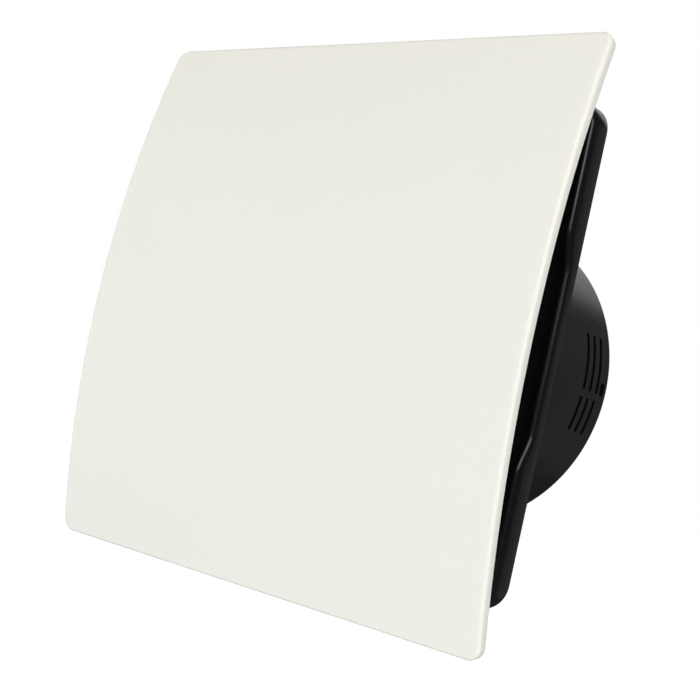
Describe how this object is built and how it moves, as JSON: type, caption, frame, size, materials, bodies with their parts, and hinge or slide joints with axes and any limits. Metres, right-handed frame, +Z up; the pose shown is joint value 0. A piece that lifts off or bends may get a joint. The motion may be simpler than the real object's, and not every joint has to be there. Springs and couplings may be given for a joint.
{
  "type": "bathroom extractor fan",
  "caption": "Wall-mounted axial bathroom extractor fan: curved glossy square front panel held off a black tray, round duct spigot behind with a spring-closed backdraft shutter.",
  "frame": {"origin": "on the duct axis, in the plane of the wall that the base frame's rear face rests on", "axes": "+X to the right as seen from the room, +Y into the wall along the duct, +Z up"},
  "size_m": [0.187, 0.1157, 0.1866],
  "materials": {
    "gloss_white": "high gloss, slightly warm white",
    "black_plastic": "satin moulded black",
    "black_impeller": "satin moulded black",
    "grey_plastic": "moulded dark grey",
    "pale_plastic": "moulded off-white nylon",
    "lead_sheath": "soft dark grey sheath",
    "rubber": "matt black",
    "steel": "zinc plated",
    "lamination": "stacked electrical steel",
    "copper": "enamelled copper winding",
    "bronze": "sintered bronze"
  },
  "bodies": {
    "housing": {"base_frame": "black_plastic", "duct_spigot": "black_plastic", "inlet_ring": "black_plastic", "ring_screw_1": "steel", "ring_screw_2": "steel", "ring_screw_3": "steel", "ring_screw_4": "steel", "motor_cradle": "black_plastic", "cradle_screw_1": "steel", "cradle_screw_2": "steel", "cradle_screw_3": "steel", "motor_cap": "black_plastic", "stator_core": "lamination", "stator_yoke": "lamination", "coil_bobbin": "pale_plastic", "coil_winding": "copper", "front_bracket": "steel", "rear_bracket": "steel", "front_bearing": "bronze", "rear_bearing": "bronze", "motor_screw_1": "steel", "motor_screw_2": "steel", "terminal_block": "pale_plastic", "terminal_screw_1": "steel", "terminal_screw_2": "steel", "terminal_screw_3": "steel", "terminal_screw_4": "steel", "terminal_cover": "black_plastic", "terminal_cover_screw": "steel", "cable_clamp": "grey_plastic", "clamp_screw_1": "steel", "clamp_screw_2": "steel", "cable_grommet": "rubber", "motor_lead": "lead_sheath", "shutter_axle": "steel"},
    "panel": {"front_panel": "gloss_white", "panel_peg_1": "black_plastic", "panel_peg_2": "black_plastic", "panel_peg_3": "black_plastic", "panel_peg_4": "black_plastic"},
    "spinner": {"rotor": "lamination", "motor_shaft": "steel", "impeller": "black_impeller", "impeller_nut": "steel"},
    "flap_upper": {"shutter_flap_upper": "black_plastic", "flap_spring_upper": "steel"},
    "flap_lower": {"shutter_flap_lower": "black_plastic", "flap_spring_lower": "steel"}
  },
  "joints": [
    {"name": "impeller_spin", "type": "hinge", "parent": "housing", "child": "spinner", "pos_m": [0, 0.034, 0], "axis": [0, 1, 0], "continuous": true},
    {"name": "panel_pull", "type": "slide", "parent": "housing", "child": "panel", "axis": [0, -1, 0], "range_m": [0, 0.03]},
    {"name": "flap_upper_hinge", "type": "hinge", "parent": "housing", "child": "flap_upper", "pos_m": [0, 0.0713, 0], "axis": [-1, 0, 0], "range_deg": [0, 72], "stiffness_Nm_per_rad": 0.002, "springref_deg": -34.38},
    {"name": "flap_lower_hinge", "type": "hinge", "parent": "housing", "child": "flap_lower", "pos_m": [0, 0.0713, 0], "axis": [1, 0, 0], "range_deg": [0, 72], "stiffness_Nm_per_rad": 0.002, "springref_deg": -34.38}
  ]
}
